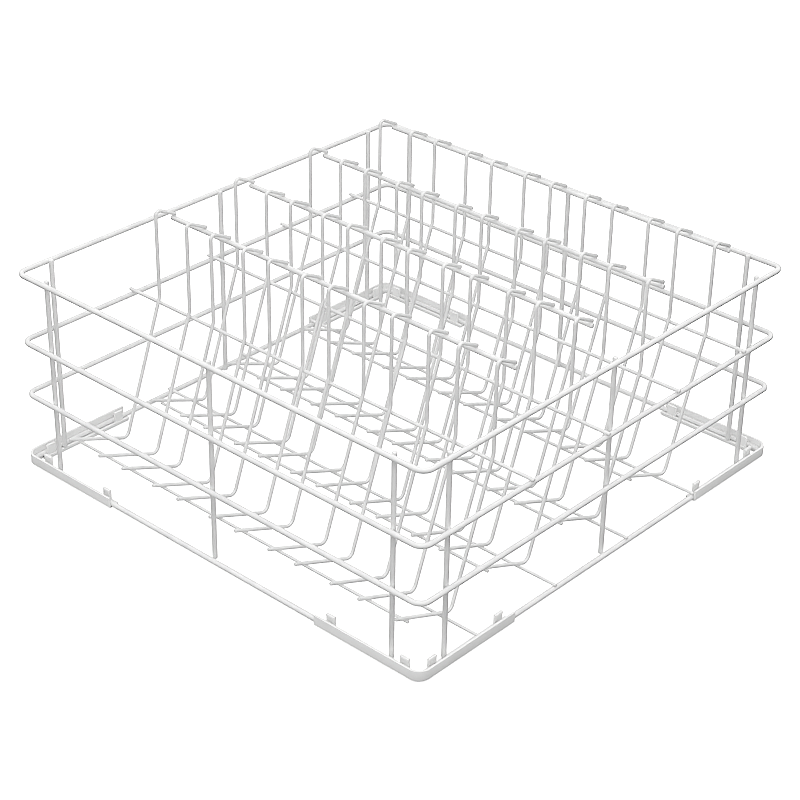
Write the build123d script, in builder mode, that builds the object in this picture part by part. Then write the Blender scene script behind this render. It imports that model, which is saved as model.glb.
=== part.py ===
from build123d import *
import os
from itertools import accumulate
from math import cos, hypot, radians, sin, tan

# Wire basket of a dishwasher: four square rings on twelve posts, four rows of bent tines with their rails and
# cross wires, and four plastic shoes clipped on the corners of the base ring. Millimetres, Z up. The origin is on
# the floor under the middle of the basket. X runs along the rows, Y from the front row to the back row.

# Wire diameters, over the coating
ring_wire = 5.0
post_wire = 4.6
rail_wire = 4.8
mid_wire = 3.4
floor_wire = 3.0
tine_wire = 3.4
weld_gap = 0.05  # between two wires where they are welded

# The wires that bend or repeat are prisms inside the round wire, and their bends are mitred
ring_sides = 16
cross_sides = 8
tine_sides = 6
ring_mitres = 5  # corners in each bend
tine_mitres = 2

# Square rings, heights from the axis of the base ring
basket_side = 499.0  # over the outside of the rings
ring_bend = 10.0  # corner radius at the wire's axis
base_bend = 8.0
lower_height = 71.6
middle_height = 126.7
rim_height = 196.5

# Posts, three on each side
post_inset = 35.5  # outer posts from the corner of the rings' axes
post_above_rim = 2.8
post_below_base = 0.4

# Rows of tines
row_count = 4
front_clearance = 6.3  # ends of the front soles to the inside of the posts
back_margin = 55.2  # back ring to the uprights of the back row
tine_count = 12
narrow_gap = 32.4  # every second gap between tines; the others take what is left
side_margin = 32.8  # first and last upright of a row to the inside of the posts

# One tine, bent in one plane across its row
hook_above_rim = 31.7  # corner of the hook
hook_fall = 26.5  # degrees, the hook falls towards the back
hook_past_rail = 0.5
hook_bend = 4.0
lean_above_wire = 7.0  # where the lower leg starts to lean, above the mid wire
foot_forward = 49.0  # foot in front of the upright
foot_bend = 6.5
sole_rise = 22.0  # degrees, the sole rises towards the front
sole_past_wire = 16.7

# Wires that carry the tines
rail_along = 26.88  # rail from the corner of the hook, along the hook
rail_overhang = 2.6  # rail beyond the first and last tine
mid_past_ring = 1.1  # ends of the mid wires beyond the outside of the rings
back_floor_inset = 0.5  # ends of the back floor wires inside the outside of the rings
back_floor_step = 10.8  # back floor wire in front of the feet
sole_wire_along = 58.5  # sole wire from the foot, along the sole
sole_wire_overhang = 1.7  # sole wire beyond the first and last tine

# Corner shoes
shoe_floor = 1.5
shoe_wall = 2.2
shoe_seat = 0.1  # shoe to the base ring, below and outside
wall_above_wire = 5.2  # outer wall above the top of the base ring
foot_chamfer = 2.5  # lower outer edge
end_round = 3.0  # lower corner at each end
lip_wall = 3.2
lip_slot = 0.45  # base ring to the inner lip
lip_below_post = 0.4
shoe_past_wire = 0.6  # end of the shoe beyond the last row's back floor wire
tab_width = 9.5
tab_wall = 2.0
tab_above_wall = 2.0
tab_from_end = 12.1  # middle of the outer tab from the end of the shoe
tab_from_bend = 11.5  # middle of the inner tab from the start of the bend
bead_height = 2.2  # bead along the top of each tab, over the base ring
bead_reach = 0.6
bead_chamfer = 0.4
window_side = 10.0  # opening in the floor and the lip at the corner
window_inset = 6.0  # middle of the opening from the axes of the base ring

# Radii and the axes of the rings
ring_radius = ring_wire / 2
post_radius = post_wire / 2
rail_radius = rail_wire / 2
mid_radius = mid_wire / 2
floor_radius = floor_wire / 2
tine_radius = tine_wire / 2
ring_half = basket_side / 2 - ring_radius
base_z = shoe_floor + shoe_seat + ring_radius
post_line = ring_half - ring_radius - weld_gap - post_radius
inside_half = post_line - post_radius

# Heights of the wires of a row
mid_z = base_z + middle_height + ring_radius + weld_gap + mid_radius
floor_z = base_z + ring_radius + weld_gap + floor_radius
lean_z = mid_z + lean_above_wire
floor_lift = floor_radius + weld_gap + tine_radius
mid_lift = mid_radius + weld_gap + tine_radius
rail_lift = rail_radius + weld_gap + tine_radius

# One tine, from the upright's axis: the sole lies on the back floor wire and the sole wire, the hook on the rail
rise = radians(sole_rise)
fall = radians(hook_fall)
sole_direction = Vector(0, -cos(rise), sin(rise))
sole_normal = Vector(0, sin(rise), cos(rise))
hook_direction = Vector(0, cos(fall), -sin(fall))
hook_normal = Vector(0, sin(fall), cos(fall))
foot_z = floor_z + floor_lift / cos(rise) - back_floor_step * tan(rise)
hook_corner = Vector(0, 0, base_z + rim_height + hook_above_rim)
lean_corner = Vector(0, 0, lean_z)
foot_corner = Vector(0, -foot_forward, foot_z)
hook_tip = hook_corner + hook_direction * (rail_along + hook_past_rail)
sole_end = foot_corner + sole_direction * (sole_wire_along + sole_past_wire)
rail_place = hook_corner + hook_direction * rail_along - hook_normal * rail_lift
sole_wire_place = foot_corner + sole_direction * sole_wire_along - sole_normal * floor_lift

# The mid wire touches the back of the leaning legs
lean_fall = foot_forward / (lean_z - foot_z)
mid_behind = mid_lift * hypot(1, lean_fall) - lean_fall * lean_above_wire

# Places of the rows and of the tines along a row
first_row = -inside_half + front_clearance + tine_radius * sole_normal.Y - sole_end.Y
row_pitch = (ring_half - back_margin - first_row) / (row_count - 1)
rows = {letter: first_row + i * row_pitch for i, letter in enumerate("abcdefgh"[:row_count])}
last_row = first_row + (row_count - 1) * row_pitch
last_tine = inside_half - side_margin
narrow_count = (tine_count - 1) // 2
wide_count = tine_count - 1 - narrow_count
wide_gap = (2 * last_tine - narrow_count * narrow_gap) / wide_count
gaps = [narrow_gap if i % 2 else wide_gap for i in range(tine_count - 1)]
tine_places = list(accumulate(gaps, initial=-last_tine))

# Places on the shoes
shoe_end = last_row - foot_forward - back_floor_step - shoe_past_wire
tab_places = (shoe_end + tab_from_end, ring_half - base_bend - tab_from_bend)

os.makedirs("parts", exist_ok=True)


def save(part, name):
    part.label = name
    export_step(part, f"parts/{name}.step")


def mitred(before, corner, after, bend_radius, mitres):
    # The corners of a bend that lies round an arc of this radius
    back = (Vector(before) - Vector(corner)).normalized()
    ahead = (Vector(after) - Vector(corner)).normalized()
    turn = 180 - back.get_angle(ahead)
    outward = -(back + ahead).normalized()
    along = (ahead - back).normalized()
    centre = Vector(corner) - outward * (bend_radius / cos(radians(turn / 2)))
    reach = bend_radius / cos(radians(turn / mitres / 2))
    angles = [radians(turn * ((i + 0.5) / mitres - 0.5)) for i in range(mitres)]
    return [centre + (outward * cos(angle) + along * sin(angle)) * reach for angle in angles]


# Rings: one closed loop each
ring_corners = ((1, -1), (1, 1), (-1, 1), (-1, -1))
ring_heights = {
    "base_ring": (base_z, base_bend),
    "lower_ring": (base_z + lower_height, ring_bend),
    "middle_ring": (base_z + middle_height, ring_bend),
    "top_rim": (base_z + rim_height, ring_bend),
}
for name, (height, bend) in ring_heights.items():
    with BuildPart() as ring:
        with BuildLine() as loop:
            square = [Vector(x * ring_half, y * ring_half, height) for x, y in ring_corners]
            middle = (square[-1] + square[0]) / 2
            around = [mitred(square[i - 1], square[i], square[(i + 1) % 4], bend, ring_mitres) for i in range(4)]
            Polyline(middle, *around[0], *around[1], *around[2], *around[3], close=True)
        with BuildSketch(Plane(origin=middle, z_dir=square[0] - middle)):
            RegularPolygon(ring_radius, ring_sides)
        sweep(path=loop.wire(), transition=Transition.RIGHT)
    save(ring.part, name)

# Posts, on the inside of the rings
post_foot = base_z - post_below_base
post_top = base_z + rim_height + post_above_rim
post_spread = ring_half - post_inset
for side, turn in (("front", 0), ("right", 90), ("back", 180), ("left", 270)):
    for number, along in enumerate((-post_spread, 0, post_spread), start=1):
        foot = Vector(along, -post_line, post_foot).rotate(Axis.Z, turn)
        with BuildPart() as post:
            with BuildSketch(Plane(origin=foot)):
                Circle(post_radius)
            extrude(amount=post_top - post_foot)
        save(post.part, f"post_{side}_{number}")


# Wires along the rows
def rail(name, half_length, y, z):
    with BuildPart() as wire:
        with BuildSketch(Plane(origin=(-half_length, y, z), z_dir=(1, 0, 0))):
            Circle(rail_radius)
        extrude(amount=2 * half_length)
    save(wire.part, name)


def cross(name, radius, half_length, y, z):
    with BuildPart() as wire:
        with BuildSketch(Plane(origin=(-half_length, y, z), z_dir=(1, 0, 0))):
            RegularPolygon(radius, cross_sides)
        extrude(amount=2 * half_length)
    save(wire.part, name)


mid_end = basket_side / 2 + mid_past_ring
back_floor_end = basket_side / 2 - back_floor_inset
rail_end = last_tine + rail_overhang
sole_wire_end = last_tine + sole_wire_overhang
for letter, row in rows.items():
    rail(f"rail_{letter}", rail_end, row + rail_place.Y, rail_place.Z)
    cross(f"mid_wire_{letter}", mid_radius, mid_end, row + mid_behind, mid_z)
    cross(f"back_floor_wire_{letter}", floor_radius, back_floor_end, row - foot_forward - back_floor_step, floor_z)
    cross(f"sole_wire_{letter}", floor_radius, sole_wire_end, row + sole_wire_place.Y, sole_wire_place.Z)

# One tine
with BuildPart() as tine:
    with BuildLine() as bends:
        Polyline(
            hook_tip,
            *mitred(hook_tip, hook_corner, lean_corner, hook_bend, tine_mitres),
            lean_corner,
            *mitred(lean_corner, foot_corner, sole_end, foot_bend, tine_mitres),
            sole_end,
        )
    with BuildSketch(Plane(origin=hook_tip, x_dir=(1, 0, 0), z_dir=-hook_direction)):
        RegularPolygon(tine_radius, tine_sides, rotation=90)
    sweep(path=bends.wire(), transition=Transition.RIGHT)

# Tines along the rows, two to a piece
for letter, row in rows.items():
    for number in range(0, tine_count, 2):
        pair = tine_places[number : number + 2]
        with BuildPart() as tine_pair:
            with Locations(*[(x, row, 0) for x in pair]):
                add(tine.part)
        save(tine_pair.part, f"tine_pair_{letter}{number // 2 + 1}")

# Corner shoe at the corner where X and Y are positive: a channel round the base ring with four beaded tabs
seat = ring_radius + shoe_seat
wall_top = ring_radius + wall_above_wire
lip_face = -ring_radius - lip_slot
lip_back = lip_face - lip_wall
lip_top = -post_below_base - lip_below_post
tab_back = lip_face - tab_wall
tab_top = wall_top + tab_above_wall
bead_face = lip_face + bead_reach
bead_foot = tab_top - bead_height
wall_out = seat + shoe_wall
with BuildPart() as shoe:
    with BuildLine() as run:
        run_start = Vector(shoe_end, ring_half, base_z)
        run_corner = Vector(ring_half, ring_half, base_z)
        run_end = Vector(ring_half, shoe_end, base_z)
        Polyline(run_start, *mitred(run_start, run_corner, run_end, base_bend, ring_mitres), run_end)
    with BuildSketch(Plane(origin=run_start, x_dir=(0, 1, 0), z_dir=(1, 0, 0))):
        with BuildLine():
            Polyline(
                (lip_back, -base_z),
                (wall_out - foot_chamfer, -base_z),
                (wall_out, foot_chamfer - base_z),
                (wall_out, wall_top),
                (seat, wall_top),
                (seat, -seat),
                (lip_face, -seat),
                (lip_face, lip_top),
                (lip_back, lip_top),
                close=True,
            )
        make_face()
    sweep(path=run.wire(), transition=Transition.RIGHT)
    for plane in (
        Plane(origin=(shoe_end, ring_half, 0), x_dir=(1, 0, 0), z_dir=(0, -1, 0)),
        Plane(origin=(ring_half, shoe_end, 0), x_dir=(0, 1, 0), z_dir=(1, 0, 0)),
    ):
        with BuildSketch(plane):
            Rectangle(end_round, end_round, align=(Align.MIN, Align.MIN))
            with Locations((end_round, end_round)):
                Circle(end_round, mode=Mode.SUBTRACT)
        extrude(amount=2 * wall_out, both=True, mode=Mode.SUBTRACT)
    for place in tab_places:
        for plane in (
            Plane(origin=(place, ring_half, base_z), x_dir=(0, 1, 0), z_dir=(1, 0, 0)),
            Plane(origin=(ring_half, place, base_z), x_dir=(1, 0, 0), z_dir=(0, -1, 0)),
        ):
            with BuildSketch(plane):
                with BuildLine():
                    Polyline(
                        (tab_back, -seat),
                        (lip_face, -seat),
                        (lip_face, bead_foot),
                        (bead_face, bead_foot),
                        (bead_face, tab_top - bead_chamfer),
                        (bead_face - bead_chamfer, tab_top),
                        (tab_back, tab_top),
                        close=True,
                    )
                make_face()
            extrude(amount=tab_width / 2, both=True)
    window_mid = ring_half - window_inset
    with BuildSketch(Plane(origin=(window_mid, window_mid, 0))):
        Rectangle(window_side, window_side)
    extrude(amount=base_z + lip_top, mode=Mode.SUBTRACT)

for name, turn in (("back_right", 0), ("back_left", 90), ("front_left", 180), ("front_right", 270)):
    with BuildPart() as corner_shoe:
        with Locations(Location((0, 0, 0), (0, 0, turn))):
            add(shoe.part)
    save(corner_shoe.part, f"corner_shoe_{name}")
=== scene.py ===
import bpy
import math
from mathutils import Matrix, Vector


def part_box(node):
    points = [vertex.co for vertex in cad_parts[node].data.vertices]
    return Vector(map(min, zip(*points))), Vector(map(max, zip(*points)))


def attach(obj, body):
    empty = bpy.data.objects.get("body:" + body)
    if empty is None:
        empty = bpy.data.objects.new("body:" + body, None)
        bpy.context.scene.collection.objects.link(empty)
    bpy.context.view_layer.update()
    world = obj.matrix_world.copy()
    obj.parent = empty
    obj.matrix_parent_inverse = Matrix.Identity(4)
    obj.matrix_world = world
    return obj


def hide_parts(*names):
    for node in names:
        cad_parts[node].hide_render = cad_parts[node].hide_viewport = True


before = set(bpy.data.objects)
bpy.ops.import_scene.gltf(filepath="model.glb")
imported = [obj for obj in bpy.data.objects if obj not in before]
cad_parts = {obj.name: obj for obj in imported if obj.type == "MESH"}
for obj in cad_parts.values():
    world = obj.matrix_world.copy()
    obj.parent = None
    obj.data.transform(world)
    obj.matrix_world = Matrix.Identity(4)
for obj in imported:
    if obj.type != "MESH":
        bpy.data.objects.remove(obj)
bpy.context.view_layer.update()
mm = 0.001
rowLetters = "abcd"
pairNumbers = range(1, 7)  # pairs of tines in a row
postNumbers = (1, 2, 3)  # posts on a side
print("frame loaded,", len(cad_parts), "nodes")


# Materials

wireCoat = {
    "colour": (0.86, 0.86, 0.855),
    "shade": (0.79, 0.79, 0.79),  # thin places of the coating
    "roughness": (0.30, 0.42),
    "mottleScale": 60.0,
    "peelScale": 520.0,
    "peelBump": 0.22,
}
shoePlastic = {
    "colour": (0.90, 0.90, 0.895),
    "shade": (0.87, 0.87, 0.865),
    "roughness": (0.42, 0.55),
    "mottleScale": 45.0,
    "peelScale": 900.0,
    "peelBump": 0.20,
}
coatPattern = {
    "mottleDetail": 3.0,
    "peelDetail": 2.0,
    "tintStops": (0.35, 0.6),
    "glossStops": (0.3, 0.7),
    "peelDepth": 0.05,  # mm
}


def makeCoat(name, look):
    mat = bpy.data.materials.new(name)
    mat.use_nodes = True
    nodes, links = mat.node_tree.nodes, mat.node_tree.links
    shader = nodes["Principled BSDF"]
    coords = nodes.new("ShaderNodeTexCoord")
    mottle = nodes.new("ShaderNodeTexNoise")  # slow change of colour and gloss
    mottle.inputs["Scale"].default_value = look["mottleScale"]
    mottle.inputs["Detail"].default_value = coatPattern["mottleDetail"]
    peel = nodes.new("ShaderNodeTexNoise")  # fine unevenness of the surface
    peel.inputs["Scale"].default_value = look["peelScale"]
    peel.inputs["Detail"].default_value = coatPattern["peelDetail"]
    for tex in (mottle, peel):
        links.new(coords.outputs["Object"], tex.inputs["Vector"])
    tint = nodes.new("ShaderNodeValToRGB")
    for stop, place, tone in zip(tint.color_ramp.elements, coatPattern["tintStops"], ("shade", "colour")):
        stop.position = place
        stop.color = (*look[tone], 1)
    links.new(mottle.outputs["Fac"], tint.inputs["Fac"])
    links.new(tint.outputs["Color"], shader.inputs["Base Color"])
    gloss = nodes.new("ShaderNodeMapRange")
    gloss.inputs["From Min"].default_value = coatPattern["glossStops"][0]
    gloss.inputs["From Max"].default_value = coatPattern["glossStops"][1]
    gloss.inputs["To Min"].default_value = look["roughness"][0]
    gloss.inputs["To Max"].default_value = look["roughness"][1]
    links.new(mottle.outputs["Fac"], gloss.inputs["Value"])
    links.new(gloss.outputs["Result"], shader.inputs["Roughness"])
    bump = nodes.new("ShaderNodeBump")
    bump.inputs["Strength"].default_value = look["peelBump"]
    bump.inputs["Distance"].default_value = coatPattern["peelDepth"] * mm
    links.new(peel.outputs["Fac"], bump.inputs["Height"])
    links.new(bump.outputs["Normal"], shader.inputs["Normal"])
    return mat


wireMat = makeCoat("whiteWireCoat", wireCoat)
shoeMat = makeCoat("whiteShoePlastic", shoePlastic)
print("materials made")


# Wires are pulled from a ring of edges: straight runs by extrude, bends by spin

wireMesh = {"mergeWithin": 0.01, "endSegments": 3, "smoothAngle": 50}  # mm, count, degrees


def startWire(spot, heading, radius, sides):
    bpy.ops.object.select_all(action="DESELECT")
    turn = heading.to_track_quat("Z", "Y").to_euler()
    bpy.ops.mesh.primitive_circle_add(
        vertices=sides, radius=radius, fill_type="NOTHING", location=spot, rotation=turn
    )
    bpy.ops.object.transform_apply(location=True, rotation=True, scale=True)
    bpy.ops.object.mode_set(mode="EDIT")
    bpy.ops.mesh.select_mode(type="VERT")
    bpy.ops.mesh.select_all(action="SELECT")
    return bpy.context.object


def pullWire(name, corners, bendRadii, radius, sides, steps):
    wire = startWire(corners[0], corners[1] - corners[0], radius, sides)
    here = corners[0]
    for i, bendRadius in enumerate(bendRadii, start=1):
        before = (corners[i] - corners[i - 1]).normalized()
        after = (corners[i + 1] - corners[i]).normalized()
        turn = before.angle(after)
        cut = bendRadius * math.tan(turn / 2)
        bendStart = corners[i] - before * cut
        axis = before.cross(after).normalized()
        centre = bendStart + axis.cross(before) * bendRadius
        bpy.ops.mesh.extrude_region_move(TRANSFORM_OT_translate={"value": bendStart - here})
        # spin counts turns the other way
        bpy.ops.mesh.spin(steps=steps, angle=-turn, center=centre, axis=axis)
        here = corners[i] + after * cut
    bpy.ops.mesh.extrude_region_move(TRANSFORM_OT_translate={"value": corners[-1] - here})
    wire.name = name
    wire.data.name = name
    return wire


def closeWire(endRound):
    bpy.ops.mesh.select_all(action="SELECT")
    bpy.ops.mesh.remove_doubles(threshold=wireMesh["mergeWithin"] * mm)
    if endRound:
        bpy.ops.mesh.fill_holes(sides=0)
        bpy.ops.mesh.select_mode(type="FACE")
        bpy.ops.mesh.select_all(action="DESELECT")
        bpy.ops.mesh.select_face_by_sides(number=4, type="GREATER")
        bpy.ops.mesh.region_to_loop()
        bpy.ops.mesh.bevel(offset=endRound, segments=wireMesh["endSegments"], affect="EDGES")
    bpy.ops.mesh.select_mode(type="VERT")
    bpy.ops.mesh.select_all(action="SELECT")
    bpy.ops.mesh.normals_make_consistent(inside=False)
    bpy.ops.object.mode_set(mode="OBJECT")
    bpy.ops.object.shade_smooth_by_angle(angle=math.radians(wireMesh["smoothAngle"]))


def dress(piece, mat, slotName, *nodes):
    piece.data.materials.clear()
    piece.data.materials.append(mat)
    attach(piece, "root")
    if nodes:
        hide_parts(*nodes)


def copyTo(piece, name, move):
    bpy.ops.object.select_all(action="DESELECT")
    piece.select_set(True)
    bpy.context.view_layer.objects.active = piece
    bpy.ops.object.duplicate(linked=False)
    twin = bpy.context.object
    twin.location = move
    bpy.ops.object.transform_apply(location=True, rotation=False, scale=False)
    twin.name = name
    twin.data.name = name
    return twin


def camelName(node):
    first, *others = node.split("_")
    return first + "".join(word.title() for word in others)


def middleOf(node):
    low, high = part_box(node)
    return (low + high) / 2


# Rings, each a closed loop

rings = {
    "bends": {"top_rim": 10.0, "middle_ring": 10.0, "lower_ring": 10.0, "base_ring": 8.0},  # mm
    "sides": 24,
    "steps": 10,
}
ringTurns = ((0, -1), (1, -1), (1, 1), (-1, 1), (-1, -1), (0, -1))  # from mid front, right round
for node, bendRadius in rings["bends"].items():
    low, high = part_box(node)
    radius = (high.z - low.z) / 2
    half = high.x - radius
    z = (low.z + high.z) / 2
    corners = [Vector((x * half, y * half, z)) for x, y in ringTurns]
    bends = [bendRadius * mm] * (len(corners) - 2)
    ring = pullWire(camelName(node), corners, bends, radius, rings["sides"], rings["steps"])
    closeWire(0)
    dress(ring, wireMat, "coated_wire", node)
print("rings made")

# Straight wires: posts, rails, mid wires, floor wires and sole wires

straight = {"sides": 20, "postRound": 1.1, "railRound": 0.9, "crossRound": 0.6}  # rounds in mm


def straightWire(name, node, along, endRound):
    low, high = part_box(node)
    middle = (low + high) / 2
    reach = (high - low) / 2
    radius = min(reach)
    start = middle - along * reach.dot(along)
    end = middle + along * reach.dot(along)
    wire = pullWire(name, [start, end], [], radius, straight["sides"], 0)
    closeWire(endRound * mm)
    return wire


upward = Vector((0, 0, 1))
acrossRow = Vector((1, 0, 0))
firstPost = straightWire("postFront1", "post_front_1", upward, straight["postRound"])
dress(firstPost, wireMat, "coated_wire", "post_front_1")
for side in ("front", "right", "back", "left"):
    for number in postNumbers:
        node = f"post_{side}_{number}"
        if node != "post_front_1":
            post = copyTo(firstPost, camelName(node), middleOf(node) - middleOf("post_front_1"))
            dress(post, wireMat, "coated_wire", node)

for kind, endRound in (
    ("rail", straight["railRound"]),
    ("mid_wire", straight["crossRound"]),
    ("back_floor_wire", straight["crossRound"]),
    ("sole_wire", straight["crossRound"]),
):
    first = straightWire(camelName(f"{kind}_a"), f"{kind}_a", acrossRow, endRound)
    dress(first, wireMat, "coated_wire", f"{kind}_a")
    for letter in rowLetters[1:]:
        node = f"{kind}_{letter}"
        wire = copyTo(first, camelName(node), middleOf(node) - middleOf(f"{kind}_a"))
        dress(wire, wireMat, "coated_wire", node)
print("straight wires made")

# Tines: one pair is pulled, the others are copies of it

tine = {
    "hookFall": 26.5,  # degrees, lengths in mm
    "hookLength": 27.38,
    "hookBend": 4.0,
    "hookCorner": 232.3,  # height above the floor
    "leanCorner": 142.05,
    "leanBend": 9.0,
    "footForward": 49.0,
    "footCorner": 7.293,
    "footBend": 6.5,
    "soleRise": 22.0,  # degrees
    "soleLength": 75.2,
    "radius": 1.7,
    "solidSides": 6,  # of the solid, with flats to the sides
    "sides": 14,
    "steps": 8,
    "endRound": 0.7,
}
hookFall = math.radians(tine["hookFall"])
soleRise = math.radians(tine["soleRise"])
pairLow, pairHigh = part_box("tine_pair_a1")
tineRadius = tine["radius"] * mm
tipReach = tine["hookLength"] * mm * math.cos(hookFall) + tineRadius * math.sin(hookFall)
uprightY = pairHigh.y - tipReach
sideInset = tineRadius * math.cos(math.pi / tine["solidSides"])
firstX, secondX = pairLow.x + sideInset, pairHigh.x - sideInset


def tineCorners(x):
    hook = Vector((x, uprightY, tine["hookCorner"] * mm))
    lean = Vector((x, uprightY, tine["leanCorner"] * mm))
    foot = Vector((x, uprightY - tine["footForward"] * mm, tine["footCorner"] * mm))
    tip = hook + Vector((0, math.cos(hookFall), -math.sin(hookFall))) * tine["hookLength"] * mm
    soleEnd = foot + Vector((0, -math.cos(soleRise), math.sin(soleRise))) * tine["soleLength"] * mm
    return [tip, hook, lean, foot, soleEnd]


tineBends = [tine["hookBend"] * mm, tine["leanBend"] * mm, tine["footBend"] * mm]
firstTine = pullWire("tinePairA1", tineCorners(firstX), tineBends, tineRadius, tine["sides"], tine["steps"])
closeWire(tine["endRound"] * mm)
copyTo(firstTine, "secondTine", Vector((secondX - firstX, 0, 0)))  # stays selected for the join
firstTine.select_set(True)
bpy.context.view_layer.objects.active = firstTine
bpy.ops.object.join()
dress(firstTine, wireMat, "coated_wire", "tine_pair_a1")
for letter in rowLetters:
    for number in pairNumbers:
        node = f"tine_pair_{letter}{number}"
        if node != "tine_pair_a1":
            pair = copyTo(firstTine, camelName(node), middleOf(node) - middleOf("tine_pair_a1"))
            dress(pair, wireMat, "coated_wire", node)
print("tines made")

# Welds: the coating runs into a small neck wherever two wires touch

weld = {
    "sides": 8,
    # mm from the contact, radius
    "levels": ((-0.7, 1.45), (-0.3, 1.2), (0.0, 1.05), (0.3, 1.2), (0.7, 1.45)),
    "thinWires": 1.0,  # share of that size
    "thickWires": 1.35,
}


def weldNeck(spot, heading, size):
    step = heading * size * mm
    level, radius = weld["levels"][0]
    neck = startWire(spot + step * level, heading, radius * size * mm, weld["sides"])
    for nextLevel, nextRadius in weld["levels"][1:]:
        bpy.ops.mesh.extrude_region_move(TRANSFORM_OT_translate={"value": step * (nextLevel - level)})
        grow = nextRadius / radius
        bpy.ops.transform.resize(value=(grow, grow, grow), center_override=spot + step * nextLevel)
        level, radius = nextLevel, nextRadius
    bpy.ops.mesh.select_all(action="SELECT")
    bpy.ops.mesh.fill_holes(sides=0)
    closeWire(0)
    return neck


def weldsAt(spots, heading, size):
    first = weldNeck(spots[0], heading, size)
    return [first] + [copyTo(first, "weld", spot - spots[0]) for spot in spots[1:]]


def joinWelds(name, necks):
    bpy.ops.object.select_all(action="DESELECT")
    for neck in necks:
        neck.select_set(True)
    bpy.context.view_layer.objects.active = necks[0]
    bpy.ops.object.join()
    necks[0].name = name
    necks[0].data.name = name
    dress(necks[0], wireMat, "coated_wire")


def halfHeight(node):
    low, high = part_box(node)
    return (high.z - low.z) / 2


hookUp = Vector((0, math.sin(hookFall), math.cos(hookFall)))
soleUp = Vector((0, math.sin(soleRise), math.cos(soleRise)))
leg = tineCorners(0)[2] - tineCorners(0)[3]
legFront = Vector((0, -leg.z, leg.y)).normalized()
# from each cross wire towards the tines that touch it
crossings = {"rail": hookUp, "mid_wire": legFront, "back_floor_wire": soleUp, "sole_wire": soleUp}
for letter in rowLetters:
    tineXs = []
    for number in pairNumbers:
        low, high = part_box(f"tine_pair_{letter}{number}")
        tineXs += [low.x + sideInset, high.x - sideInset]
    necks = []
    for kind, heading in crossings.items():
        node = f"{kind}_{letter}"
        touch = middleOf(node) + heading * halfHeight(node)
        necks += weldsAt([Vector((x, touch.y, touch.z)) for x in tineXs], heading, weld["thinWires"])
    for kind, ring in (("mid_wire", "middle_ring"), ("back_floor_wire", "base_ring")):
        low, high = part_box(ring)
        ringX = high.x - halfHeight(ring)
        y = middleOf(f"{kind}_{letter}").y
        necks += weldsAt([Vector((x, y, high.z)) for x in (-ringX, ringX)], upward, weld["thinWires"])
    joinWelds("weldsRow" + letter.upper(), necks)

outwards = {"front": (0, -1, 0), "right": (1, 0, 0), "back": (0, 1, 0), "left": (-1, 0, 0)}
necks = []
for side, outward in outwards.items():
    outward = Vector(outward)
    spots = []
    for number in postNumbers:
        low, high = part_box(f"post_{side}_{number}")
        touch = (low + high) / 2 + outward * (high.x - low.x) / 2
        for ring in ("base_ring", "lower_ring", "middle_ring", "top_rim"):
            spots.append(Vector((touch.x, touch.y, middleOf(ring).z)))
    necks += weldsAt(spots, outward, weld["thickWires"])
joinWelds("weldsPosts", necks)
print("welds made")

# Shoes: the moulded solid with its edges rounded

shoe = {
    "mergeWithin": 0.01,  # mm
    "dissolve": 1.0,  # degrees, joins the triangles of flat faces
    "edgeRound": 0.35,
    "segments": 2,
    "edgeAngle": 30,  # sharper edges are rounded
    "smoothAngle": 40,
}
for corner in ("back_right", "back_left", "front_left", "front_right"):
    node = f"corner_shoe_{corner}"
    bpy.ops.object.select_all(action="DESELECT")
    shoePiece = bpy.data.objects.new(camelName(node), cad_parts[node].data.copy())
    bpy.context.scene.collection.objects.link(shoePiece)
    shoePiece.select_set(True)
    bpy.context.view_layer.objects.active = shoePiece
    bpy.ops.object.mode_set(mode="EDIT")
    bpy.ops.mesh.select_all(action="SELECT")
    bpy.ops.mesh.remove_doubles(threshold=shoe["mergeWithin"] * mm)
    bpy.ops.mesh.dissolve_limited(angle_limit=math.radians(shoe["dissolve"]))
    bpy.ops.object.mode_set(mode="OBJECT")
    bevel = shoePiece.modifiers.new("edges", "BEVEL")
    bevel.width = shoe["edgeRound"] * mm
    bevel.segments = shoe["segments"]
    bevel.limit_method = "ANGLE"
    bevel.angle_limit = math.radians(shoe["edgeAngle"])
    bpy.ops.object.modifier_apply(modifier="edges")
    bpy.ops.object.shade_smooth_by_angle(angle=math.radians(shoe["smoothAngle"]))
    dress(shoePiece, shoeMat, "shoe_plastic", node)
print("shoes made")

# Floor, light and camera

floorLook = {"size": 40.0, "colour": (0.9, 0.9, 0.9), "roughness": 0.9, "specular": 0.1, "glow": 0.50}
bpy.ops.object.select_all(action="DESELECT")
bpy.ops.mesh.primitive_plane_add(size=floorLook["size"], location=(0, 0, 0))
floor = bpy.context.object
floor.name = "floor"
floorMat = bpy.data.materials.new("paleFloor")
floorMat.use_nodes = True
floorShader = floorMat.node_tree.nodes["Principled BSDF"]
floorShader.inputs["Base Color"].default_value = (*floorLook["colour"], 1)
floorShader.inputs["Roughness"].default_value = floorLook["roughness"]
floorShader.inputs["Specular IOR Level"].default_value = floorLook["specular"]
floorShader.inputs["Emission Color"].default_value = (1, 1, 1, 1)
floorShader.inputs["Emission Strength"].default_value = floorLook["glow"]
floor.data.materials.append(floorMat)
floor.visible_diffuse = False  # light from below comes from the bounce lamp and the dark low sky
floor.visible_glossy = False
floor.visible_shadow = False

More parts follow.
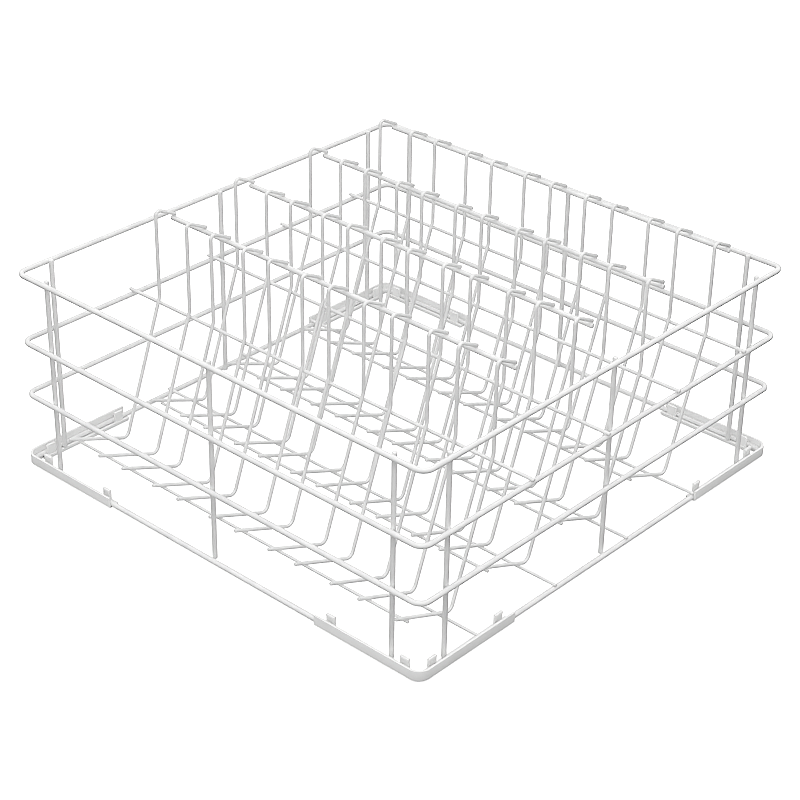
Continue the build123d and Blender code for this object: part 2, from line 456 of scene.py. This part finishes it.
# The sky is a ramp along one tilted line: bright above and in front, dark low behind
studio = {
    "up": (0.0, -0.10, 0.99),
    "below": (0.42, 0.08),  # place on the ramp, brightness
    "horizon": (0.52, 0.92),
    "above": (1.0, 0.95),
    "backdrop": 1.5,
}
world = bpy.data.worlds.new("studio")
bpy.context.scene.world = world
world.use_nodes = True
worldNodes, worldLinks = world.node_tree.nodes, world.node_tree.links
background = worldNodes["Background"]
skyCoords = worldNodes.new("ShaderNodeTexCoord")
skyTilt = worldNodes.new("ShaderNodeVectorMath")
skyTilt.operation = "DOT_PRODUCT"
skyTilt.inputs[1].default_value = Vector(studio["up"]).normalized()
skyRamp = worldNodes.new("ShaderNodeValToRGB")
skyHeight = worldNodes.new("ShaderNodeMapRange")
skyHeight.inputs["From Min"].default_value = -1.0
worldLinks.new(skyCoords.outputs["Generated"], skyTilt.inputs[0])
worldLinks.new(skyTilt.outputs["Value"], skyHeight.inputs["Value"])
worldLinks.new(skyHeight.outputs["Result"], skyRamp.inputs["Fac"])
worldLinks.new(skyRamp.outputs["Color"], background.inputs["Color"])
skyRamp.color_ramp.elements.new(studio["horizon"][0])
for stop, name in zip(skyRamp.color_ramp.elements, ("below", "horizon", "above")):
    place, tone = studio[name]
    stop.position = place
    stop.color = (tone, tone, tone, 1)
backdrop = worldNodes.new("ShaderNodeBackground")  # what shows past the floor is plain white
backdrop.inputs["Color"].default_value = (1, 1, 1, 1)
backdrop.inputs["Strength"].default_value = studio["backdrop"]
rays = worldNodes.new("ShaderNodeLightPath")
skyMix = worldNodes.new("ShaderNodeMixShader")
worldLinks.new(rays.outputs["Is Camera Ray"], skyMix.inputs["Fac"])
worldLinks.new(background.outputs["Background"], skyMix.inputs[1])
worldLinks.new(backdrop.outputs["Background"], skyMix.inputs[2])
worldLinks.new(skyMix.outputs["Shader"], worldNodes["World Output"].inputs["Surface"])


def areaLamp(name, look):
    lampData = bpy.data.lights.new(name, "AREA")
    lampData.size = look["size"]
    lampData.energy = look["watts"]
    lamp = bpy.data.objects.new(name, lampData)
    bpy.context.scene.collection.objects.link(lamp)
    lamp.location = look["spot"]
    lamp.rotation_euler = (Vector(look["aim"]) - Vector(look["spot"])).to_track_quat("-Z", "Y").to_euler()
    lamp.visible_camera = False


overhead = {"spot": (0, 0, 2.0), "aim": (0, 0, 0.1), "size": 1.2, "watts": 3.2}
# above the camera
softbox = {"spot": (1.05, -1.2, 1.75), "aim": (0, 0, 0.1), "size": 2.0, "watts": 8.8}
# under the floor
bounce = {"spot": (-0.13, 0.04, -0.2), "aim": (-0.13, 0.04, 1.0), "size": 0.9, "watts": 1.4}
areaLamp("overhead", overhead)
areaLamp("softbox", softbox)
areaLamp("bounce", bounce)

photoView = {
    "spot": (1.14168, -1.27261, 1.04964),
    "aim": (0.04179, -0.04786, 0.10083),
    "roll": 0.975,  # degrees
    "lens": 94.07,
    "sensor": 36.0,
}
camData = bpy.data.cameras.new("photoCamera")
camData.lens = photoView["lens"]
camData.sensor_width = photoView["sensor"]
camera = bpy.data.objects.new("photoCamera", camData)
bpy.context.scene.collection.objects.link(camera)
camera.location = photoView["spot"]
aimTurn = (Vector(photoView["aim"]) - Vector(photoView["spot"])).to_track_quat("-Z", "Y").to_euler()
aimTurn.rotate_axis("Z", math.radians(photoView["roll"]))
camera.rotation_euler = aimTurn
bpy.context.scene.camera = camera
bpy.context.scene.view_settings.view_transform = "Standard"

# The picture is finished like a catalogue shot: a slightly narrow pixel filter,
# and a little sharpening for the thin wires
finishing = {"filterWidth": 1.4, "sharpen": 0.26}
bpy.context.scene.cycles.filter_width = finishing["filterWidth"]
bpy.context.scene.use_nodes = True
pictureTree = bpy.context.scene.node_tree
pictureTree.nodes.clear()
layers = pictureTree.nodes.new("CompositorNodeRLayers")
crisp = pictureTree.nodes.new("CompositorNodeFilter")
crisp.filter_type = "SHARPEN_DIAMOND"
crisp.inputs["Fac"].default_value = finishing["sharpen"]
picture = pictureTree.nodes.new("CompositorNodeComposite")
pictureTree.links.new(layers.outputs["Image"], crisp.inputs["Image"])
pictureTree.links.new(crisp.outputs["Image"], picture.inputs["Image"])
print("floor, light and camera set")

bpy.context.view_layer.update()
